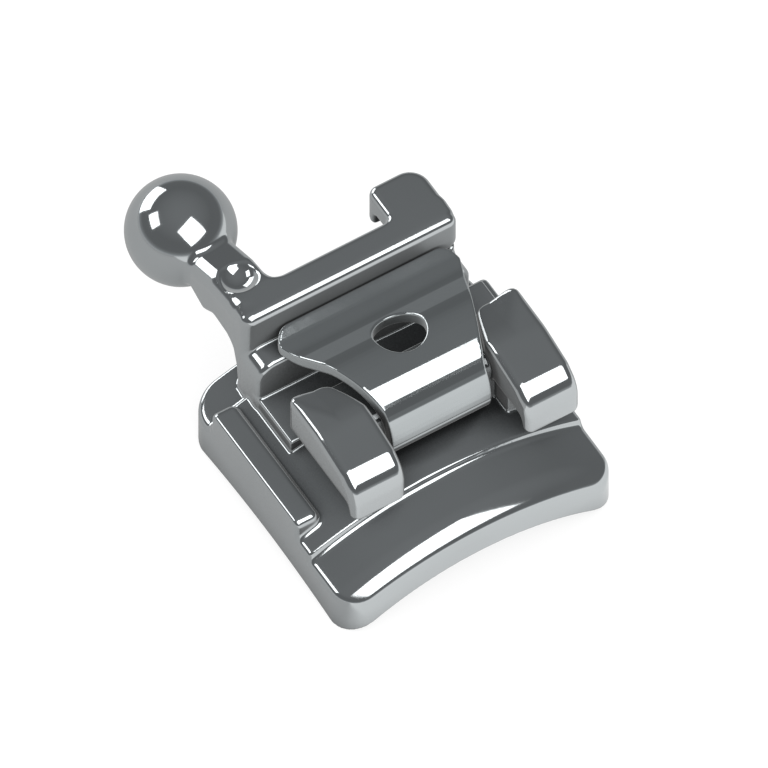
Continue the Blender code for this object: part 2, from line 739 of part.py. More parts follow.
def finish(obj, name, material):
    """Tidies a finished solid, scales it to metres and gives it its name and material."""
    bm = bmesh.new()
    bm.from_mesh(obj.data)
    bmesh.ops.remove_doubles(bm, verts=bm.verts, dist=MERGE)
    bmesh.ops.dissolve_limit(
        bm, angle_limit=FLAT_ANGLE, verts=bm.verts, edges=bm.edges, delimit={"NORMAL"},
    )
    bmesh.ops.triangulate(bm, faces=bm.faces)
    bmesh.ops.scale(bm, vec=(MM, MM, MM), verts=bm.verts)
    mesh = bpy.data.meshes.new(name)
    bm.to_mesh(mesh)
    bm.free()
    obj.data = mesh
    obj.name = name
    mesh.materials.append(material)
    mesh.shade_smooth()
    mesh.set_sharp_from_angle(angle=SHARP_ANGLE)
    return obj


def make_body():
    body = join(make_pad(), make_platform(), make_rail(-1), make_rail(1), make_core())
    body = join(body, make_ledge(), make_bar(), make_near_wing(-1), make_near_wing(1), make_far_wing())
    ball = ball_object((BALL_X, BALL_Y, BALL_Z), BALL_D, 32, "ball")
    body = join(body, make_hook_arm(), ball)
    body = cut_clip_passage(body)
    body = cut(body, make_clip_relief(-1), make_clip_relief(1), make_dimple())
    body = cut(body, make_grooves())
    return finish(body, "bracket_body", metal("polished_casting", BODY_COLOUR, BODY_ROUGHNESS))


def clip_upper_plan():
    """The upper arm's plan, with rounded corners at its tip."""
    corner_y = CLIP_TIP_Y - CLIP_TIP_CORNER_R
    side = [(clip_half(y), y) for y in spread(CLIP_FRONT_Y - OVERRUN, corner_y, CLIP_COLUMNS)]
    corner = arc((side[-1][0] - CLIP_TIP_CORNER_R, corner_y), CLIP_TIP_CORNER_R, 0, math.pi / 2)
    side += corner[1:]
    right = [(BODY_X + half, y) for half, y in side]
    left = [(BODY_X - half, y) for half, y in reversed(side)]
    return right + left


def clip_lower_plan():
    """The lower arm's plan: a tongue behind the front bend, with ears and a split at its tail."""
    arm_near = CORE_FRONT_Y + CLEARANCE
    ear_near = CLIP_TAIL_Y - CLIP_EAR_LENGTH
    tail = CLIP_TAIL_Y + OVERRUN
    side = [
        (CLIP_FRONT_HALF, CLIP_FRONT_Y - OVERRUN),
        (CLIP_FRONT_HALF, arm_near - (CLIP_FRONT_HALF - CLIP_ARM_HALF)),
        (CLIP_ARM_HALF, arm_near),
        (CLIP_ARM_HALF, ear_near),
        (CLIP_EAR_HALF, ear_near),
        (CLIP_EAR_HALF, tail),
        (CLIP_SPLIT_WIDTH / 2, tail),
        (CLIP_SPLIT_WIDTH / 2, CLIP_TAIL_Y - CLIP_SPLIT_LENGTH),
    ]
    right = [(BODY_X + half, y) for half, y in side]
    left = [(BODY_X - half, y) for half, y in reversed(side)]
    return right + left


def offset_line(points, distance):
    """A run of points moved sideways by a distance, square to the run at each point."""
    moved = []
    last = len(points) - 1
    for i, point in enumerate(points):
        run = Vector(points[min(i + 1, last)]) - Vector(points[max(i - 1, 0)])
        run.normalize()
        moved.append((point[0] + run.y * distance, point[1] - run.x * distance))
    return moved


def make_clip():
    """The clip: a strip bent round the core, trimmed to its broad tip and its eared tail."""
    half = CLIP_THICKNESS / 2
    front = CLIP_FRONT_Y + half
    tip_rise = (CLIP_TIP_Z - CLIP_LIP_Z) / (CLIP_TIP_Y - CLIP_LIP_Y)
    middle = rounded_path([
        (CLIP_TIP_Y + OVERRUN, CLIP_TIP_Z + OVERRUN * tip_rise - half),
        (CLIP_LIP_Y, CLIP_LIP_Z - half, CLIP_LIP_R),
        (CLIP_CREASE_Y, CLIP_CREASE_Z - half, CLIP_CREASE_R),
        (CLIP_HUMP_Y, CLIP_HUMP_Z - half, CLIP_HUMP_R),
        (front, CLIP_SHOULDER_Z - half, CLIP_UPPER_BEND_R),
        (front, arm_line(front), CLIP_LOWER_BEND_R),
        (CLIP_TAIL_Y, arm_line(CLIP_TAIL_Y)),
    ], closed=False)
    section = offset_line(middle, half) + offset_line(middle, -half)[::-1]
    strip = prism(section, "X", BODY_X - BODY_HALF, BODY_X + BODY_HALF, "clip_strip")
    upper = prism(clip_upper_plan(), "Z", CLIP_WAIST_Z - OVERRUN, ABOVE_ALL, "upper_plan")
    lower = prism(clip_lower_plan(), "Z", 0.0, CLIP_WAIST_Z, "lower_plan")
    clip = trim(strip, join(upper, lower))
    rim = arc((BODY_X, PROBE_HOLE_Y), PROBE_HOLE_D / 2, 0, 2 * math.pi)[:-1]
    clip = cut(clip, prism(rim, "Z", CLIP_WAIST_Z, ABOVE_ALL, "hole_cutter"))
    return finish(clip, "spring_clip", metal("polished_spring", CLIP_COLOUR, CLIP_ROUGHNESS))


def main():
    for obj in list(bpy.data.objects):
        bpy.data.objects.remove(obj, do_unlink=True)
    make_body()
    make_clip()


main()
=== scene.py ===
import math

import bpy
import numpy as np
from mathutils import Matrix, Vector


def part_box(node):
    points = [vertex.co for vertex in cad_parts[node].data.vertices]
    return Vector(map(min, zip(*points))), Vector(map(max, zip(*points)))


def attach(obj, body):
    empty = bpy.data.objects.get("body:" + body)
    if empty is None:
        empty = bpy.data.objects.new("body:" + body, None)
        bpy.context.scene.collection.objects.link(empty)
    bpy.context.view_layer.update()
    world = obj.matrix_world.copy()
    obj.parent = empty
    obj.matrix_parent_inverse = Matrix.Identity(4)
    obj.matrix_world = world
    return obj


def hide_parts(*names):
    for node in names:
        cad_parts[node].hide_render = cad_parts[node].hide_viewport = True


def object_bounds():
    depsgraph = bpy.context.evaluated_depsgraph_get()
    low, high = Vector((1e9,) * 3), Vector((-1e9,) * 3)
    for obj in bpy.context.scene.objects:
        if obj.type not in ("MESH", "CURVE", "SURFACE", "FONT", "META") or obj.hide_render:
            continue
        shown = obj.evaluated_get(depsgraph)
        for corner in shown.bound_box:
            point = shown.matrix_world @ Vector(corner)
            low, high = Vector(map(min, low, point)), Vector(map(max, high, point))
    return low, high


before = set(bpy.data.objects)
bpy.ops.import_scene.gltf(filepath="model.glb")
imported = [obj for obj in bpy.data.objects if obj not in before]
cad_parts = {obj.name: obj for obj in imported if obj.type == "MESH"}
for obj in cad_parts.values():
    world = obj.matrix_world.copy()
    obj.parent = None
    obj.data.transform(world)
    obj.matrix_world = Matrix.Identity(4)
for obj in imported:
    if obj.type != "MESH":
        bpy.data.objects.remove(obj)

import openvdb
from mathutils import Matrix, Vector

# A self-ligating orthodontic bracket: a polished casting and its spring clip.
# Both are sculpted as distance fields, so that every edge and inner corner gets the soft radius of
# a tumbled casting. Sizes are in millimetres, and the meshes are scaled to metres when they are made.

mm = 0.001
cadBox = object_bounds()
print("frame loaded:", sorted(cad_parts))


# Outlines and distance fields

def arcPoints(centre, radius, start, end, step=math.radians(6)):
    count = max(1, math.ceil(abs(end - start) / step))
    angles = [start + (end - start) * i / count for i in range(count + 1)]
    return [(centre[0] + radius * math.cos(a), centre[1] + radius * math.sin(a)) for a in angles]


def filletPoints(before, corner, after, radius):
    here = Vector(corner)
    back = (Vector(before) - here).normalized()
    ahead = (Vector(after) - here).normalized()
    half = back.angle(ahead) / 2
    centre = here + (back + ahead).normalized() * (radius / math.sin(half))
    first = here + back * (radius / math.tan(half)) - centre
    last = here + ahead * (radius / math.tan(half)) - centre
    start = math.atan2(first.y, first.x)
    turn = (math.atan2(last.y, last.x) - start + math.pi) % (2 * math.pi) - math.pi
    return arcPoints(centre, radius, start, start + turn)


def roundedLine(corners, closed=True):
    # corners are (a, b) where sharp and (a, b, radius) where rounded
    points = []
    for i, corner in enumerate(corners):
        isEnd = not closed and i in (0, len(corners) - 1)
        if len(corner) == 2 or isEnd:
            points.append(tuple(corner[:2]))
        else:
            before = corners[i - 1][:2]
            after = corners[(i + 1) % len(corners)][:2]
            points += filletPoints(before, corner[:2], after, corner[2])
    return points


def outlineField(points, a, b):
    # signed distance from a closed outline, negative inside
    nearest = np.full(np.broadcast(a, b).shape, 1e9, np.float32)
    inside = np.zeros(nearest.shape, bool)
    for (a0, b0), (a1, b1) in zip(points, points[1:] + points[:1]):
        da = a1 - a0
        db = b1 - b0
        length = da * da + db * db
        if length < 1e-12:
            continue
        along = np.clip(((a - a0) * da + (b - b0) * db) / length, 0, 1)
        nearest = np.minimum(nearest, (a - a0 - da * along) ** 2 + (b - b0 - db * along) ** 2)
        if b0 != b1:
            crosses = (b0 <= b) != (b1 <= b)
            inside ^= crosses & (a < a0 + (b - b0) * da / db)
    distance = np.sqrt(nearest)
    return np.where(inside, -distance, distance)


def trimTo(first, second, radius):
    # keeps what is inside both, with a rounded edge where they meet
    u = np.maximum(first + radius, 0)
    v = np.maximum(second + radius, 0)
    return np.minimum(np.maximum(first, second), -radius) + np.sqrt(u * u + v * v)


def joinTo(first, second, fillet):
    # keeps what is inside either, with a fillet where they meet
    return -trimTo(-first, -second, fillet)


def cutFrom(body, hole, radius):
    return trimTo(body, -hole, radius)


def span(value, low, high):
    return np.maximum(low - value, value - high)


def archField(x, z, crownZ, radius):
    # distance above a surface that curves along the slot only
    return np.hypot(x, z - crownZ + radius) - radius


def sag(distance, radius):
    return radius - np.sqrt(radius * radius - distance * distance)


# Spring clip: the casting's reliefs follow it, so its sizes come first

clip = {
    "middleX": 0.2, "thickness": 0.15,
    "frontY": -0.4525, "frontHalf": 0.617, "shoulderZ": 1.865,
    "humpY": 0.36, "humpZ": 1.885, "humpRadius": 0.45,
    "creaseY": 0.8, "creaseZ": 1.66, "creaseRadius": 0.45,
    "lipY": 1.06, "lipZ": 1.66, "lipRadius": 0.12,
    "tipY": 1.185, "tipZ": 1.72, "tipHalf": 1.187, "tipCorner": 0.2,
    "taperY": -0.3,
    "upperBend": 0.585, "lowerBend": 0.225,
    "tilt": math.radians(14.2), "armZ": 1.015, "armHalf": 0.5,
    "tailY": 0.7, "earHalf": 0.56, "earLength": 0.08,
    "splitWidth": 0.16, "splitLength": 0.3,
    "holeWidth": 0.57, "holeY": 0.4,
    "waistZ": 1.18, "travel": 0.84,
    "edge": 0.022, "gap": 0.02, "sideGap": 0.045,
}
coreFrontY = -0.25
overrun = 0.1  # how far a shape runs on into its neighbour
aboveAll = 3.0  # a height clear above the whole part
planSteps = 40  # points along a tapered side of a plan


def clipHalf(y):
    share = max(0.0, (y - clip["taperY"]) / (clip["tipY"] - clip["taperY"]))
    return clip["frontHalf"] + (clip["tipHalf"] - clip["frontHalf"]) * share


def armLine(y):
    return clip["armZ"] - (y - clip["frontY"] - clip["thickness"] / 2) * math.tan(clip["tilt"])


def offsetLine(points, distance):
    moved = []
    for i, point in enumerate(points):
        run = Vector(points[min(i + 1, len(points) - 1)]) - Vector(points[max(i - 1, 0)])
        run.normalize()
        moved.append((point[0] + run.y * distance, point[1] - run.x * distance))
    return moved


def mirrored(side):
    # a closed plan from the points of its right-hand side, as (half width, y)
    return [(half, y) for half, y in side] + [(-half, y) for half, y in reversed(side)]


def clipUpperPlan():
    cornerY = clip["tipY"] - clip["tipCorner"]
    side = [(clipHalf(y), y) for y in np.linspace(clip["frontY"] - overrun, cornerY, planSteps)]
    centre = (side[-1][0] - clip["tipCorner"], cornerY)
    return mirrored(side + arcPoints(centre, clip["tipCorner"], 0, math.pi / 2)[1:])


def clipLowerPlan():
    armNear = coreFrontY + clip["gap"]
    earNear = clip["tailY"] - clip["earLength"]
    tail = clip["tailY"] + overrun
    return mirrored([
        (clip["frontHalf"], clip["frontY"] - overrun),
        (clip["frontHalf"], armNear - (clip["frontHalf"] - clip["armHalf"])),
        (clip["armHalf"], armNear),
        (clip["armHalf"], earNear),
        (clip["earHalf"], earNear),
        (clip["earHalf"], tail),
        (clip["splitWidth"] / 2, tail),
        (clip["splitWidth"] / 2, clip["tailY"] - clip["splitLength"]),
    ])


def clipField(x, y, z):
    half = clip["thickness"] / 2
    front = clip["frontY"] + half
    rise = (clip["tipZ"] - clip["lipZ"]) / (clip["tipY"] - clip["lipY"])
    middle = roundedLine([
        (clip["tipY"] + overrun, clip["tipZ"] + overrun * rise - half),
        (clip["lipY"], clip["lipZ"] - half, clip["lipRadius"]),
        (clip["creaseY"], clip["creaseZ"] - half, clip["creaseRadius"]),
        (clip["humpY"], clip["humpZ"] - half, clip["humpRadius"]),
        (front, clip["shoulderZ"] - half, clip["upperBend"]),
        (front, armLine(front), clip["lowerBend"]),
        (clip["tailY"], armLine(clip["tailY"])),
    ], closed=False)
    strip = outlineField(offsetLine(middle, half) + offsetLine(middle, -half)[::-1], y, z)
    across = x - clip["middleX"]
    upper = np.maximum(outlineField(clipUpperPlan(), across, y), clip["waistZ"] - z)
    lower = np.maximum(outlineField(clipLowerPlan(), across, y), z - clip["waistZ"])
    field = trimTo(strip, np.minimum(upper, lower), clip["edge"])
    hole = np.hypot(across, y - clip["holeY"]) - clip["holeWidth"] / 2
    return cutFrom(field, np.maximum(hole, clip["waistZ"] - z), clip["edge"])


# Casting

pad = {
    "length": 3.39, "width": 3.235, "corner": 0.35,
    "toothRadiusAlong": 3.14, "toothRadiusAcross": 9.0,
    "crownZ": 0.915, "topRadius": 3.8,
    "nearEdge": 0.34, "nearOut": 0.03,  # the broad near rounding, and how far its plane stands out
    "upperEdge": 0.055, "lowerEdge": 0.03,
    "grooves": 5, "groovePitch": 0.52, "grooveWidth": 0.17, "grooveDepth": 0.05, "grooveEdge": 0.02,
}


def toothFall(x, y):
    return sag(x, pad["toothRadiusAlong"]) + sag(y, pad["toothRadiusAcross"])


def padUnderCrown():
    # the crown's height when the pad's corners touch the ground
    inset = pad["lowerEdge"]
    centreX = pad["length"] / 2 - pad["corner"]
    centreY = pad["width"] / 2 - pad["corner"]
    rim = arcPoints((centreX, centreY), pad["corner"] - inset, 0, math.pi / 2)
    return max(toothFall(x, y) for x, y in rim)


def padUnder(x, y):
    return padUnderCrown() - toothFall(x, y)


def grooveField(x, y, z):
    # crossing grooves in the bonding face, into which the resin keys
    reach = pad["groovePitch"] * pad["grooves"] / 2

    def across(value):
        offset = (value + reach) % pad["groovePitch"] - pad["groovePitch"] / 2
        return np.abs(offset) - pad["grooveWidth"] / 2

    lines = np.minimum(across(x), across(y))
    field = np.maximum(lines, z - padUnder(x, y) - pad["grooveDepth"])
    return np.maximum(field, np.maximum(np.abs(x), np.abs(y)) - reach)


platform = {
    "crownZ": 0.985, "topRadius": 4.1, "nearY": -0.84, "farY": 1.16, "cove": 0.07, "edge": 0.03,
    "railWidth": 0.285, "railTopZ": 0.9, "railNearY": -0.6, "railFarY": 1.12,
    "railLean": 0.07, "railEdge": 0.09, "railFillet": 0.07,
    "rootDepth": 0.15,  # how deep the rails and the slot's floor are sunk in what they stand on
}


def railField(x, y, z):
    outer = pad["length"] / 2 + overrun
    inner = pad["length"] / 2 - platform["railWidth"]
    foot = platform["crownZ"] - sag(inner, platform["topRadius"]) - platform["rootDepth"]
    view = roundedLine([
        (outer, foot),
        (outer, platform["railTopZ"]),
        (inner, platform["railTopZ"], platform["railEdge"]),
        (inner - platform["railLean"], foot),
    ])
    profile = outlineField(view, np.abs(x), z)
    return trimTo(profile, span(y, platform["railNearY"], platform["railFarY"]), platform["railEdge"])


def baseField(x, y, z):
    # pad, platform and rails share the pad's outline, so their sides run flush
    u = np.abs(x) - pad["length"] / 2 + pad["corner"]
    v = np.abs(y) - pad["width"] / 2 + pad["corner"]
    corner = np.hypot(np.maximum(u, 0), np.maximum(v, 0))
    plan = corner + np.minimum(np.maximum(u, v), 0) - pad["corner"]
    crown = archField(x, z, pad["crownZ"], pad["topRadius"])
    step = archField(x, z, platform["crownZ"], platform["topRadius"])
    step = trimTo(step, span(y, platform["nearY"], platform["farY"]), platform["edge"])
    upper = joinTo(crown, step, platform["cove"])
    upper = joinTo(upper, railField(x, y, z), platform["railFillet"])
    # a broad rounding runs straight along the near side
    upper = trimTo(upper, -y - pad["width"] / 2 - pad["nearOut"], pad["nearEdge"])
    slope = 1 + (x / pad["toothRadiusAlong"]) ** 2 + (y / pad["toothRadiusAcross"]) ** 2
    under = (padUnder(x, y) - z) / np.sqrt(slope)
    return trimTo(trimTo(plan, upper, pad["upperEdge"]), under, pad["lowerEdge"])


core = {
    "half": 1.2, "topZ": 1.5, "noseRadius": 0.17, "rootZ": 0.62,
    "pedestalFrontY": -0.5, "pedestalTopZ": 1.3,
    "slotWidth": 0.56, "slotNearY": 0.38, "slotFloorZ": 0.98, "slotOverrun": 0.085, "bodyHalf": 1.41,
    "edge": 0.03, "fillet": 0.03,
}
slotFarY = core["slotNearY"] + core["slotWidth"]

wing = {
    "gapHalf": 0.735, "frontY": -0.955, "topZ": 1.73,
    "crestY": -0.25, "crestZ": 1.72, "crestRadius": 0.6,
    "browY": -0.7175, "browZ": 1.61, "browRadius": 0.15,
    "faceTopZ": 1.42, "faceRadius": 0.36,
    "underZ": 1.17, "tipZ": 1.0, "tipDepth": 0.12, "tipLean": 0.05, "tipRadius": 0.04,
    "edge": 0.1, "reliefLean": 0.35,
}


def coreField(x, y, z):
    across = np.abs(x - clip["middleX"])
    view = roundedLine([
        (coreFrontY, core["rootZ"]),
        (core["slotNearY"], core["rootZ"]),
        (core["slotNearY"], core["topZ"], core["edge"]),
        (coreFrontY, core["topZ"], core["noseRadius"]),
    ])
    block = trimTo(outlineField(view, y, z), across - core["half"], core["edge"])
    pedestal = trimTo(
        span(across, wing["gapHalf"] + clip["sideGap"], core["half"]),
        np.maximum(
            span(y, core["pedestalFrontY"], core["slotNearY"]),
            span(z, core["rootZ"], core["pedestalTopZ"]),
        ),
        core["edge"],
    )
    low = pad["crownZ"] - sag(x, pad["topRadius"]) - platform["rootDepth"] - z
    floor = trimTo(
        np.maximum(z - core["slotFloorZ"], low),
        np.maximum(
            across - core["bodyHalf"],
            span(y, core["slotNearY"] - core["slotOverrun"], slotFarY + overrun),
        ),
        core["edge"],
    )
    return joinTo(joinTo(block, pedestal, core["fillet"]), floor, core["fillet"])


def wingGap(y):
    return max(wing["gapHalf"], clipHalf(y) + clip["sideGap"])


def wingField(x, y, z):
    view = roundedLine([
        (core["slotNearY"], wing["underZ"]),
        (core["slotNearY"], wing["topZ"], wing["edge"]),
        (wing["crestY"], wing["crestZ"], wing["crestRadius"]),
        (wing["browY"], wing["browZ"], wing["browRadius"]),
        (wing["frontY"], wing["faceTopZ"], wing["faceRadius"]),
        (wing["frontY"], wing["tipZ"], wing["tipRadius"]),
        (wing["frontY"] + wing["tipDepth"], wing["tipZ"], wing["tipRadius"]),
        (wing["frontY"] + wing["tipDepth"] + wing["tipLean"], wing["underZ"], wing["tipRadius"]),
    ])
    near = wing["frontY"] - overrun
    far = core["slotNearY"] + overrun
    inner = [(wingGap(y), y) for y in np.linspace(far, near, planSteps)]
    plan = inner + [(core["bodyHalf"], near), (core["bodyHalf"], far)]
    across = np.abs(x - clip["middleX"])
    return trimTo(outlineField(view, y, z), outlineField(plan, across, y), wing["edge"])


def reliefField(x, y, z):
    # clears the clip's underside, which widens towards the tip, as it slides over the wings
    across = np.abs(x - clip["middleX"])
    edge = clipHalf(clip["creaseY"]) + clip["sideGap"]
    underClip = clip["creaseZ"] - clip["thickness"] - clip["gap"]
    floor = underClip + (clip["creaseY"] - y) * math.tan(clip["tilt"])
    floor = floor + np.maximum(across - edge, 0) * wing["reliefLean"]
    ends = np.maximum(clip["frontHalf"] - across, y - core["slotNearY"] - overrun)
    return np.maximum((floor - z) * math.cos(clip["tilt"]), ends)


def passageField(x, y, z):
    # the mouth for the clip's front, the guide of its arm, and the wider run of its ears
    reach = (clip["thickness"] / 2 + clip["gap"]) / math.cos(clip["tilt"])
    near = wing["frontY"]
    far = clip["tailY"] + clip["gap"]
    view = [
        (near, armLine(near) - reach),
        (far, armLine(far) - reach),
        (far, armLine(far) + reach),
        (coreFrontY, armLine(coreFrontY) + reach),
        (coreFrontY, aboveAll),
        (near, aboveAll),
    ]
    shoulder = clip["tailY"] - clip["earLength"] - clip["travel"] * math.cos(clip["tilt"]) - clip["gap"] / 2
    plan = mirrored([
        (clip["frontHalf"] + 2 * clip["sideGap"], near),
        (clip["frontHalf"] + 2 * clip["sideGap"], coreFrontY),
        (clip["armHalf"] + clip["gap"], coreFrontY),
        (clip["armHalf"] + clip["gap"], shoulder),
        (clip["earHalf"] + clip["gap"], shoulder),
        (clip["earHalf"] + clip["gap"], far),
    ])
    return np.maximum(outlineField(view, y, z), outlineField(plan, x - clip["middleX"], y))


bar = {
    "leftX": -1.215, "rightX": 1.435, "nearY": 1.21, "farY": 1.5925, "topZ": 2.03,
    "edge": 0.09, "brow": 0.115, "rim": 0.09, "end": 0.14, "corner": 0.13, "heelZ": 1.42, "lean": 0.02,
    "ledgeZ": 1.5, "ledgeEnd": 0.22, "ledgeEdge": 0.06,
    "postRightX": 1.415, "postFarY": 1.42, "postRootZ": 0.52, "waistZ": 1.07, "waistLean": 0.055,
    "waistRadius": 0.3, "fillet": 0.04,
}
farWing = {
    "length": 0.64, "farY": 2.05, "tipZ": 1.53, "tipDepth": 0.17, "underZ": 1.74,
    "tipRadius": 0.06, "side": 0.11, "corner": 0.24, "fillet": 0.16, "edge": 0.05,
}


def ledgeField(x, y, z):
    view = roundedLine([
        (bar["leftX"], bar["postRootZ"]),
        (bar["postRightX"], bar["postRootZ"]),
        (bar["postRightX"], bar["ledgeZ"], bar["ledgeEnd"]),
        (bar["leftX"], bar["ledgeZ"], bar["ledgeEnd"]),
    ])
    return trimTo(outlineField(view, x, z), span(y, slotFarY, bar["nearY"] + overrun), bar["ledgeEdge"])


def barField(x, y, z):
    view = roundedLine([
        (bar["nearY"], bar["postRootZ"]),
        (bar["postFarY"], bar["postRootZ"]),
        (bar["postFarY"] + bar["waistLean"], bar["waistZ"], bar["waistRadius"]),
        (bar["farY"] - bar["lean"], bar["heelZ"], bar["waistRadius"]),
        (bar["farY"], bar["topZ"] + overrun),
        (bar["nearY"], bar["topZ"] + overrun),
    ])
    left = bar["leftX"] - overrun
    front = roundedLine([
        (left, bar["postRootZ"]),
        (bar["postRightX"], bar["postRootZ"]),
        (bar["postRightX"], bar["ledgeZ"]),
        (bar["rightX"], bar["ledgeZ"], bar["corner"]),
        (bar["rightX"], bar["topZ"] + overrun),
        (left, bar["topZ"] + overrun),
    ])
    return trimTo(outlineField(view, y, z), outlineField(front, x, z), bar["edge"])


def farWingField(x, y, z):
    innerY = farWing["farY"] - farWing["tipDepth"]
    view = roundedLine([
        (bar["nearY"] + bar["brow"], farWing["underZ"]),
        (bar["nearY"] + bar["brow"], bar["topZ"] + overrun),
        (farWing["farY"] + overrun, bar["topZ"] + overrun),
        (farWing["farY"] + overrun, farWing["tipZ"]),
        (innerY, farWing["tipZ"], farWing["tipRadius"]),
        (innerY, farWing["underZ"], farWing["tipRadius"]),
    ])
    left = bar["rightX"] - farWing["length"]
    seamY = bar["farY"] - bar["edge"]
    plan = roundedLine([
        (left - farWing["fillet"] - overrun, bar["nearY"] + overrun),
        (bar["rightX"], bar["nearY"] + overrun),
        (bar["rightX"], farWing["farY"], farWing["corner"]),
        (left, farWing["farY"], farWing["side"]),
        (left, seamY, farWing["fillet"]),
        (left - farWing["fillet"] - overrun, seamY),
    ])
    return trimTo(outlineField(view, y, z), outlineField(plan, x, y), farWing["edge"])


hook = {
    "width": 0.56, "fillet": 0.26, "edge": 0.05,
    "shoulderY": 1.97, "shoulderZ": 1.97, "shoulderRadius": 0.2, "rim": 0.2,
    "neckTopY": 2.48, "neckTopZ": 1.75, "neckY": 2.34, "neckUnderZ": 1.33,
    "neckTaper": 0.08, "neckRadius": 0.13, "neckReach": 0.2,
    "bellyY": 1.85, "bellyZ": 1.37, "heelY": 2.06, "heelZ": 1.22, "heelRadius": 0.08,
    "ballX": -0.96, "ballY": 2.9075, "ballZ": 1.53, "ballWidth": 1.2, "ballFillet": 0.06,
    "dimpleWidth": 0.43, "dimpleY": 1.82, "dimpleDepth": 0.13, "dimpleEdge": 0.03,
}


def armField(x, y, z):
    rootY = (bar["nearY"] + bar["farY"]) / 2
    endY = hook["ballY"] - hook["neckReach"]  # inside the ball
    view = roundedLine([
        (rootY, bar["ledgeZ"]),
        (rootY, hook["heelZ"] + overrun),
        (hook["bellyY"], hook["bellyZ"], hook["heelRadius"]),
        (hook["heelY"], hook["heelZ"], hook["heelRadius"]),
        (hook["neckY"], hook["neckUnderZ"], hook["neckRadius"]),
        (endY, hook["neckUnderZ"] + hook["neckTaper"]),
        (endY, bar["topZ"] + overrun),
        (rootY, bar["topZ"] + overrun),
    ])
    right = bar["leftX"] + hook["width"]
    seamY = bar["farY"] - bar["edge"]
    plan = roundedLine([
        (bar["leftX"] - overrun, rootY),
        (right + hook["fillet"] + overrun, rootY),
        (right + hook["fillet"] + overrun, seamY),
        (right, seamY, hook["fillet"]),
        (right, hook["ballY"]),
        (bar["leftX"] - overrun, hook["ballY"]),
    ])
    return trimTo(outlineField(view, y, z), outlineField(plan, x, y), hook["edge"])


def topField(x, y, z):
    # flat over the bar and the far wing, falling along the hook arm
    slope = roundedLine([
        (slotFarY - overrun, bar["postRootZ"] - overrun),
        (slotFarY - overrun, bar["topZ"]),
        (bar["farY"], bar["topZ"], hook["shoulderRadius"]),
        (hook["shoulderY"], hook["shoulderZ"], hook["shoulderRadius"]),
        (hook["neckTopY"], hook["neckTopZ"], hook["neckRadius"]),
        (hook["ballY"], hook["neckTopZ"]),
        (hook["ballY"], bar["postRootZ"] - overrun),
    ])
    return np.where(x < clip["middleX"], outlineField(slope, y, z), z - bar["topZ"])


def ballField(x, y, z):
    away = (x - hook["ballX"]) ** 2 + (y - hook["ballY"]) ** 2 + (z - hook["ballZ"]) ** 2
    return np.sqrt(away) - hook["ballWidth"] / 2


def dimpleField(x, y, z):
    half = hook["dimpleWidth"] / 2
    depth = hook["dimpleDepth"]
    radius = (half * half + depth * depth) / (2 * depth)
    fall = (bar["topZ"] - hook["shoulderZ"]) / (hook["shoulderY"] - bar["farY"])
    rimZ = bar["topZ"] - fall * (hook["dimpleY"] - bar["farY"])
    middleX = bar["leftX"] + hook["width"] / 2
    centreZ = rimZ + radius - depth
    return np.sqrt((x - middleX) ** 2 + (y - hook["dimpleY"]) ** 2 + (z - centreZ) ** 2) - radius


def castingField(x, y, z):
    field = joinTo(baseField(x, y, z), coreField(x, y, z), core["fillet"])
    field = joinTo(field, wingField(x, y, z), core["fillet"])
    top = joinTo(barField(x, y, z), farWingField(x, y, z), bar["fillet"])
    top = joinTo(top, armField(x, y, z), bar["fillet"])
    top = trimTo(top, bar["leftX"] - x, bar["end"])
    # the top's edge is broad along the left side, finer elsewhere
    fromLeft = (bar["leftX"] + overrun, bar["leftX"] + hook["width"] / 2)
    rim = np.interp(x, fromLeft, (hook["rim"], bar["rim"]))
    share = np.interp(y, (bar["nearY"] + overrun, bar["farY"] - overrun), (0, 1))
    top = trimTo(top, topField(x, y, z), bar["brow"] + (rim - bar["brow"]) * share)
    top = joinTo(top, ledgeField(x, y, z), core["fillet"])
    top = joinTo(top, ballField(x, y, z), hook["ballFillet"])
    field = joinTo(field, top, core["fillet"])
    field = cutFrom(field, passageField(x, y, z), core["fillet"] / 2)
    field = cutFrom(field, reliefField(x, y, z), core["fillet"])
    field = cutFrom(field, dimpleField(x, y, z), hook["dimpleEdge"])
    return cutFrom(field, grooveField(x, y, z), pad["grooveEdge"])


# Meshes from the fields

meshing = {
    "castingVoxel": 0.018, "clipVoxel": 0.014, "quickVoxel": 0.03,
    "margin": 0.1, "band": 4,  # room round the piece in mm, depth of the grid's band in voxels
    "settlePasses": 3, "normalStep": 0.6, "mostTriangles": 190000,
}


def sampleField(values, low, voxel, points):
    # trilinear reading of a field at scattered points
    place = (points - low) / voxel
    cell = np.clip(np.floor(place).astype(int), 0, np.array(values.shape) - 2)
    part = place - cell
    total = np.zeros(len(points))
    for corner in range(8):
        step = np.array([corner & 1, corner >> 1 & 1, corner >> 2 & 1])
        weight = np.prod(np.where(step, part, 1 - part), axis=1)
        i, j, k = (cell + step).T
        total += weight * values[i, j, k]
    return total


def fieldNormals(values, low, voxel, points):
    normals = np.empty((len(points), 3))
    for axis in range(3):
        step = np.zeros(3)
        step[axis] = voxel * meshing["normalStep"]
        ahead = sampleField(values, low, voxel, points + step)
        behind = sampleField(values, low, voxel, points - step)
        normals[:, axis] = ahead - behind
    return normals / np.maximum(np.linalg.norm(normals, axis=1, keepdims=True), 1e-9)


def settle(values, low, voxel, points):
    # moves points onto the surface of the field
    for _ in range(meshing["settlePasses"]):
        normals = fieldNormals(values, low, voxel, points)
        distance = sampleField(values, low, voxel, points)
        points = points - normals * distance[:, None]
    return points, fieldNormals(values, low, voxel, points)


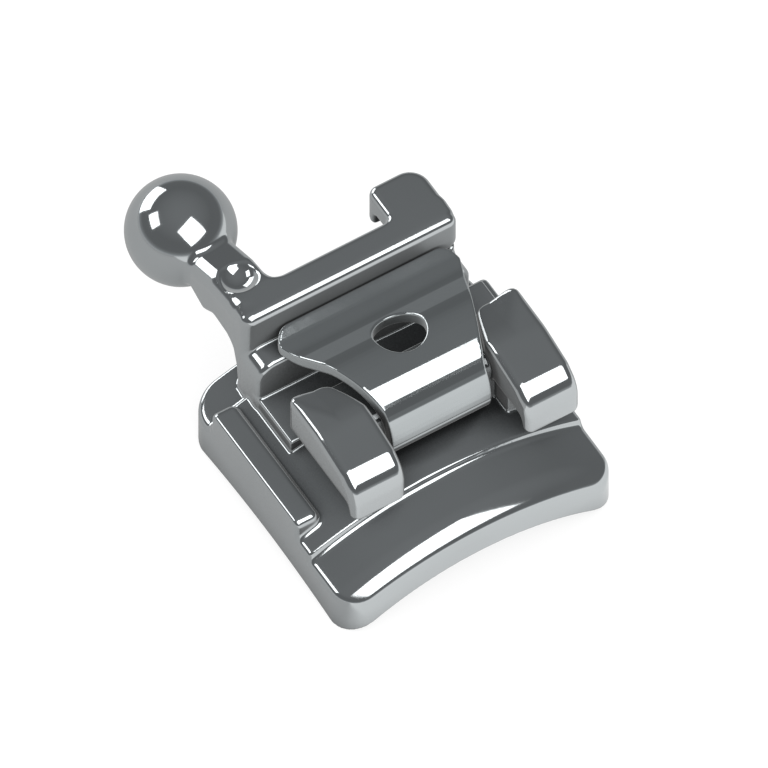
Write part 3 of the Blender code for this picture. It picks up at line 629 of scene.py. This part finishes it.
def sculpt(name, field, nodeName, voxel):
    boxLow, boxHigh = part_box(nodeName)
    boxLow = np.array(boxLow) / mm
    boxHigh = np.array(boxHigh) / mm
    low = boxLow - meshing["margin"]
    counts = np.ceil((boxHigh - boxLow + 2 * meshing["margin"]) / voxel).astype(int)
    x, y, z = (low[i] + voxel * np.arange(counts[i], dtype=np.float32) for i in range(3))
    x = x[:, None, None].astype(np.float32)
    y = y[None, :, None].astype(np.float32)
    z = z[None, None, :].astype(np.float32)
    values = np.ascontiguousarray(np.broadcast_to(field(x, y, z), tuple(counts))).astype(np.float32)
    band = meshing["band"] * voxel
    grid = openvdb.FloatGrid(band)
    grid.copyFromArray(np.clip(values, -band, band))
    corners, quads = grid.convertToQuads(isovalue=0.0)
    points, normals = settle(values, low, voxel, corners * voxel + low)
    mesh = bpy.data.meshes.new(name)
    mesh.from_pydata((points * mm).tolist(), [], quads.tolist())
    piece = bpy.data.objects.new(name, mesh)
    bpy.context.scene.collection.objects.link(piece)
    if 2 * len(quads) > meshing["mostTriangles"]:
        thin = piece.modifiers.new("thin", "DECIMATE")
        thin.ratio = meshing["mostTriangles"] / (2 * len(quads))
        graph = bpy.context.evaluated_depsgraph_get()
        thinned = bpy.data.meshes.new_from_object(piece.evaluated_get(graph))
        piece.modifiers.clear()
        piece.data = thinned
        mesh = thinned
        points = np.empty(len(mesh.vertices) * 3)
        mesh.vertices.foreach_get("co", points)
        points, normals = settle(values, low, voxel, points.reshape(-1, 3) / mm)
    points = np.clip(points, boxLow, boxHigh) * mm
    mesh.vertices.foreach_set("co", points.ravel())
    mesh.shade_smooth()
    mesh.normals_split_custom_set_from_vertices(normals.tolist())
    mesh.update()
    print(name, "has", len(mesh.polygons), "faces")
    return piece


casting = sculpt("casting", castingField, "bracket_body", meshing["castingVoxel"])
springClip = sculpt("springClip", clipField, "spring_clip", meshing["clipVoxel"])


# Materials: mirror-polished metal with the faint marks of tumbling, and painted shade in its gaps

polish = {
    "castingColour": (0.57, 0.6, 0.61, 1), "castingRoughness": 0.08,
    "clipColour": (0.535, 0.57, 0.58, 1), "clipRoughness": 0.065,
    "hazeSize": 900, "hazeDetail": 3, "hazeRange": (0.3, 0.7),
    "hazeRoughness": (0.75, 1.35), "hazeTone": (0.97, 1.02),  # shares of the roughness and the colour
    "scratchSize": 5200, "scratchDetail": 4, "scratchBend": 1.5,
    "scratchStrength": 0.012, "scratchHeight": 0.02,
    # painted shade in the gaps: how wide a gap is darkened, and from how dark at the narrowest up to none
    "crevice": 0.9, "creviceSamples": 8,  # how wide a gap is shaded, in mm
    "creviceTone": 0.06, "creviceStart": 0.22, "creviceEnd": 0.66,
}


def mapRange(nodes, fromRange, toRange, smooth=False):
    node = nodes.new("ShaderNodeMapRange")
    if smooth:
        node.interpolation_type = "SMOOTHSTEP"
    for label, value in zip(("From Min", "From Max", "To Min", "To Max"), (*fromRange, *toRange)):
        node.inputs[label].default_value = value
    return node


def mathNode(nodes, operation):
    node = nodes.new("ShaderNodeMath")
    node.operation = operation
    return node


def vectorNode(nodes, operation):
    node = nodes.new("ShaderNodeVectorMath")
    node.operation = operation
    return node


def buildPolishGroup():
    # puts out a roughness that varies over the surface, a colour and the height of fine marks
    group = bpy.data.node_groups.new("tumbledPolish", "ShaderNodeTree")
    for label, kind, value in (
        ("Colour", "NodeSocketColor", polish["castingColour"]),
        ("Roughness", "NodeSocketFloat", polish["castingRoughness"]),
        ("Haze size", "NodeSocketFloat", polish["hazeSize"]),
        ("Scratch size", "NodeSocketFloat", polish["scratchSize"]),
    ):
        socket = group.interface.new_socket(label, in_out="INPUT", socket_type=kind)
        socket.default_value = value
    group.interface.new_socket("Colour", in_out="OUTPUT", socket_type="NodeSocketColor")
    group.interface.new_socket("Roughness", in_out="OUTPUT", socket_type="NodeSocketFloat")
    group.interface.new_socket("Height", in_out="OUTPUT", socket_type="NodeSocketFloat")
    nodes = group.nodes
    links = group.links
    source = nodes.new("NodeGroupInput")
    result = nodes.new("NodeGroupOutput")
    place = nodes.new("ShaderNodeTexCoord")
    haze = nodes.new("ShaderNodeTexNoise")
    haze.inputs["Detail"].default_value = polish["hazeDetail"]
    links.new(place.outputs["Object"], haze.inputs["Vector"])
    links.new(source.outputs["Haze size"], haze.inputs["Scale"])
    spread = mapRange(nodes, polish["hazeRange"], polish["hazeRoughness"])
    links.new(haze.outputs["Fac"], spread.inputs["Value"])
    rough = mathNode(nodes, "MULTIPLY")
    links.new(spread.outputs["Result"], rough.inputs[0])
    links.new(source.outputs["Roughness"], rough.inputs[1])
    links.new(rough.outputs["Value"], result.inputs["Roughness"])
    tone = mapRange(nodes, polish["hazeRange"], polish["hazeTone"])
    links.new(haze.outputs["Fac"], tone.inputs["Value"])
    tint = vectorNode(nodes, "SCALE")
    links.new(source.outputs["Colour"], tint.inputs[0])
    links.new(tone.outputs["Result"], tint.inputs["Scale"])
    links.new(tint.outputs["Vector"], result.inputs["Colour"])
    marks = nodes.new("ShaderNodeTexNoise")
    marks.inputs["Detail"].default_value = polish["scratchDetail"]
    marks.inputs["Distortion"].default_value = polish["scratchBend"]
    links.new(place.outputs["Object"], marks.inputs["Vector"])
    links.new(source.outputs["Scratch size"], marks.inputs["Scale"])
    links.new(marks.outputs["Fac"], result.inputs["Height"])
    return group


polishGroup = buildPolishGroup()


def polishedMetal(name, colour, roughness):
    material = bpy.data.materials.new(name)
    material.use_nodes = True
    nodes = material.node_tree.nodes
    links = material.node_tree.links
    shader = nodes["Principled BSDF"]
    shader.inputs["Metallic"].default_value = 1.0
    finish = nodes.new("ShaderNodeGroup")
    finish.node_tree = polishGroup
    finish.inputs["Colour"].default_value = colour
    finish.inputs["Roughness"].default_value = roughness
    finish.inputs["Haze size"].default_value = polish["hazeSize"]
    finish.inputs["Scratch size"].default_value = polish["scratchSize"]
    # painted shade: the gaps are darkened in the colour here, because the pieces don't show in each other's
    # reflections
    crevice = nodes.new("ShaderNodeAmbientOcclusion")
    crevice.samples = polish["creviceSamples"]
    crevice.inputs["Distance"].default_value = polish["crevice"] * mm
    shade = mapRange(nodes, (polish["creviceStart"], polish["creviceEnd"]), (polish["creviceTone"], 1))
    links.new(crevice.outputs["AO"], shade.inputs["Value"])
    tint = vectorNode(nodes, "SCALE")
    links.new(finish.outputs["Colour"], tint.inputs[0])
    links.new(shade.outputs["Result"], tint.inputs["Scale"])
    links.new(tint.outputs["Vector"], shader.inputs["Base Color"])
    links.new(finish.outputs["Roughness"], shader.inputs["Roughness"])
    bump = nodes.new("ShaderNodeBump")
    bump.inputs["Strength"].default_value = polish["scratchStrength"]
    bump.inputs["Distance"].default_value = polish["scratchHeight"] * mm
    links.new(finish.outputs["Height"], bump.inputs["Height"])
    links.new(bump.outputs["Normal"], shader.inputs["Normal"])
    return material


castingMetal = polishedMetal("polishedCasting", polish["castingColour"], polish["castingRoughness"])
clipMetal = polishedMetal("polishedSpring", polish["clipColour"], polish["clipRoughness"])

for piece, node, body, slotName, material in (
    (casting, "bracket_body", "bracket", "cast_body", castingMetal),
    (springClip, "spring_clip", "clip", "spring_clip", clipMetal),
):
    piece.data.materials.append(material)
    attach(piece, body)
    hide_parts(node)
    piece.visible_glossy = False  # the metal reflects the studio only
print("metal on", len(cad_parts), "pieces")


# Studio: a floor that shows white, a dark dome that only the metal sees, and soft boxes

studio = {
    "floorSize": 400, "floorGap": 0.002, "floorColour": 0.25, "floorRoughness": 0.9, "floorInView": 0.8,
    # painted light and shade on the floor, seen only in the metal: its level on the shaded side and on the
    # front box's side
    "floorInMetal": (0.2, 0.6),  # brightness in the metal on the dull side and on the front box's side
    "floorTurn": 0.4, "floorTurnAlong": (1, -1, 0),
    "floorFront": (0.7, 1.0), "floorFrontAlong": (0, -1, 0),
    "skyLight": 0.85,
    "domeRadius": 60, "domeLow": math.radians(1.0), "domeRings": 24, "domeColumns": 48,
    "domeShades": ((0.0, 0.55), (0.08, 0.26), (0.17, 0.17), (0.5, 0.165), (1.0, 0.23)),
    "domeTint": (1, 1.02, 1.04),
    "boxDistance": 40, "boxTarget": (0, 0.9, 1.2),
}
softBoxes = (
    # direction to the box, width and height in mm, turn about its own axis, brightness seen in the metal
    {"name": "frontBox", "towards": (0.014, -0.667, 0.745), "size": (33, 33), "roll": 20, "glow": 2.4},
    {"name": "backBox", "towards": (-0.22, 0.93, 0.26), "size": (28, 18), "roll": 0, "glow": 2.4},
    {"name": "leftBox", "towards": (-0.703, 0.418, 0.575), "size": (19, 13), "roll": 0, "glow": 2.4},
)


def backgroundRay(nodes, links):
    # 1 for the rays that show the background: seen directly, in metal or through glass
    path = nodes.new("ShaderNodeLightPath")
    either = mathNode(nodes, "MAXIMUM")
    links.new(path.outputs["Is Camera Ray"], either.inputs[0])
    links.new(path.outputs["Is Glossy Ray"], either.inputs[1])
    anyRay = mathNode(nodes, "MAXIMUM")
    links.new(either.outputs["Value"], anyRay.inputs[0])
    links.new(path.outputs["Is Transmission Ray"], anyRay.inputs[1])
    return anyRay.outputs["Value"]


def buildWorld():
    world = bpy.data.worlds.new("studioSky")
    world.use_nodes = True
    bpy.context.scene.world = world
    nodes = world.node_tree.nodes
    links = world.node_tree.links
    background = nodes["Background"]
    background.inputs["Color"].default_value = (1, 1, 1, 1)
    level = mapRange(nodes, (0, 1), (studio["skyLight"], 1))
    links.new(backgroundRay(nodes, links), level.inputs["Value"])
    links.new(level.outputs["Result"], background.inputs["Strength"])


def buildFloor():
    half = studio["floorSize"] / 2 * mm
    mesh = bpy.data.meshes.new("floor")
    corners = [(-half, -half, 0), (half, -half, 0), (half, half, 0), (-half, half, 0)]
    mesh.from_pydata(corners, [], [(0, 1, 2, 3)])
    floor = bpy.data.objects.new("floor", mesh)
    bpy.context.scene.collection.objects.link(floor)
    floor.location.z = cadBox[0][2] - studio["floorGap"] * mm
    material = bpy.data.materials.new("paleFloor")
    material.use_nodes = True
    nodes = material.node_tree.nodes
    links = material.node_tree.links
    shader = nodes["Principled BSDF"]
    grey = studio["floorColour"]
    shader.inputs["Base Color"].default_value = (grey, grey, grey, 1)
    shader.inputs["Roughness"].default_value = studio["floorRoughness"]
    shader.inputs["Specular IOR Level"].default_value = 0.0
    shader.inputs["Emission Color"].default_value = (1, 1, 1, 1)
    # painted light: in the metal the floor is brighter on the side of the front box, with painted shade on
    # the other side
    place = nodes.new("ShaderNodeTexCoord")
    along = vectorNode(nodes, "DOT_PRODUCT")
    along.inputs[1].default_value = studio["floorTurnAlong"]
    links.new(place.outputs["Object"], along.inputs[0])
    turn = studio["floorTurn"] * mm
    shade = mapRange(nodes, (-turn, turn), (0, 1), smooth=True)
    links.new(along.outputs["Value"], shade.inputs["Value"])
    ahead = vectorNode(nodes, "DOT_PRODUCT")
    ahead.inputs[1].default_value = studio["floorFrontAlong"]
    links.new(place.outputs["Object"], ahead.inputs[0])
    paintedShadeLevel, bright = studio["floorInMetal"]
    front = mapRange(nodes, [edge * mm for edge in studio["floorFront"]], (0, bright - paintedShadeLevel), smooth=True)
    links.new(ahead.outputs["Value"], front.inputs["Value"])
    level = mathNode(nodes, "MULTIPLY_ADD")
    links.new(shade.outputs["Result"], level.inputs[0])
    links.new(front.outputs["Result"], level.inputs[1])
    level.inputs[2].default_value = paintedShadeLevel
    path = nodes.new("ShaderNodeLightPath")
    unseen = mathNode(nodes, "MAXIMUM")
    links.new(path.outputs["Is Glossy Ray"], unseen.inputs[0])
    links.new(path.outputs["Is Transmission Ray"], unseen.inputs[1])
    inMetal = mathNode(nodes, "MULTIPLY")
    links.new(level.outputs["Value"], inMetal.inputs[0])
    links.new(unseen.outputs["Value"], inMetal.inputs[1])
    inView = mathNode(nodes, "MULTIPLY_ADD")
    inView.inputs[1].default_value = studio["floorInView"]
    links.new(path.outputs["Is Camera Ray"], inView.inputs[0])
    links.new(inMetal.outputs["Value"], inView.inputs[2])
    links.new(inView.outputs["Value"], shader.inputs["Emission Strength"])
    mesh.materials.append(material)


def buildDome():
    # polished metal needs something dark to show: a grey dome, seen only in reflections
    radius = studio["domeRadius"] * mm
    rings = studio["domeRings"]
    columns = studio["domeColumns"]
    points = []
    for i in range(rings):
        height = studio["domeLow"] + (math.pi / 2 - studio["domeLow"]) * i / rings
        for j in range(columns):
            turn = 2 * math.pi * j / columns
            ring = radius * math.cos(height)
            points.append((ring * math.cos(turn), ring * math.sin(turn), radius * math.sin(height)))
    points.append((0, 0, radius))
    faces = []
    for i in range(rings - 1):
        for j in range(columns):
            k = (j + 1) % columns
            below = i * columns
            above = (i + 1) * columns
            faces.append((below + j, below + k, above + k, above + j))
    last = (rings - 1) * columns
    for j in range(columns):
        faces.append((last + j, last + (j + 1) % columns, len(points) - 1))
    mesh = bpy.data.meshes.new("dome")
    mesh.from_pydata(points, [], faces)
    mesh.shade_smooth()
    dome = bpy.data.objects.new("dome", mesh)
    bpy.context.scene.collection.objects.link(dome)
    dome.visible_camera = False
    dome.visible_diffuse = False
    dome.visible_shadow = False
    dome.visible_transmission = False
    material = bpy.data.materials.new("greyDome")
    material.use_nodes = True
    nodes = material.node_tree.nodes
    links = material.node_tree.links
    nodes.remove(nodes["Principled BSDF"])
    glow = nodes.new("ShaderNodeEmission")
    place = nodes.new("ShaderNodeTexCoord")
    split = nodes.new("ShaderNodeSeparateXYZ")
    shade = nodes.new("ShaderNodeValToRGB")
    ramp = shade.color_ramp
    while len(ramp.elements) < len(studio["domeShades"]):
        ramp.elements.new(0.5)
    for element, (position, value) in zip(ramp.elements, studio["domeShades"]):
        element.position = position
        element.color = [value * tint for tint in studio["domeTint"]] + [1]
    links.new(place.outputs["Generated"], split.inputs["Vector"])
    links.new(split.outputs["Z"], shade.inputs["Fac"])
    links.new(shade.outputs["Color"], glow.inputs["Color"])
    links.new(glow.outputs["Emission"], nodes["Material Output"].inputs["Surface"])
    mesh.materials.append(material)


def buildSoftBox(box):
    width, height = (side * mm for side in box["size"])
    light = bpy.data.lights.new(box["name"], "AREA")
    light.shape = "RECTANGLE"
    light.size = width
    light.size_y = height
    light.energy = box["glow"] * math.pi * width * height
    lamp = bpy.data.objects.new(box["name"], light)
    bpy.context.scene.collection.objects.link(lamp)
    towards = Vector(box["towards"]).normalized()
    lamp.location = (Vector(studio["boxTarget"]) + towards * studio["boxDistance"]) * mm
    facing = towards.to_track_quat("Z", "Y").to_matrix()
    lamp.rotation_euler = (facing @ Matrix.Rotation(math.radians(box["roll"]), 3, "Z")).to_euler()


buildWorld()
buildFloor()
buildDome()
for box in softBoxes:
    buildSoftBox(box)
print("studio built")


# Camera at the photograph's angle: a parallel view

view = {
    "azimuth": math.radians(-31.7), "elevation": math.radians(54.7),
    "right": -0.2053, "up": 0.872, "distance": 50,
    "pixels": 768, "pixelsPerMm": 95, "nearest": 1, "farthest": 1000,
}


def buildCamera():
    data = bpy.data.cameras.new("camera")
    data.type = "ORTHO"
    data.ortho_scale = view["pixels"] / view["pixelsPerMm"] * mm
    data.clip_start = view["nearest"] * mm
    data.clip_end = view["farthest"] * mm
    camera = bpy.data.objects.new("camera", data)
    bpy.context.scene.collection.objects.link(camera)
    tip = Matrix.Rotation(math.pi / 2 - view["elevation"], 4, "X")
    turn = Matrix.Rotation(view["azimuth"], 4, "Z") @ tip
    offset = turn @ Vector((view["right"], view["up"], view["distance"]))
    camera.matrix_world = Matrix.Translation(offset * mm) @ turn
    bpy.context.scene.camera = camera


buildCamera()
bpy.context.scene.view_settings.view_transform = "Standard"
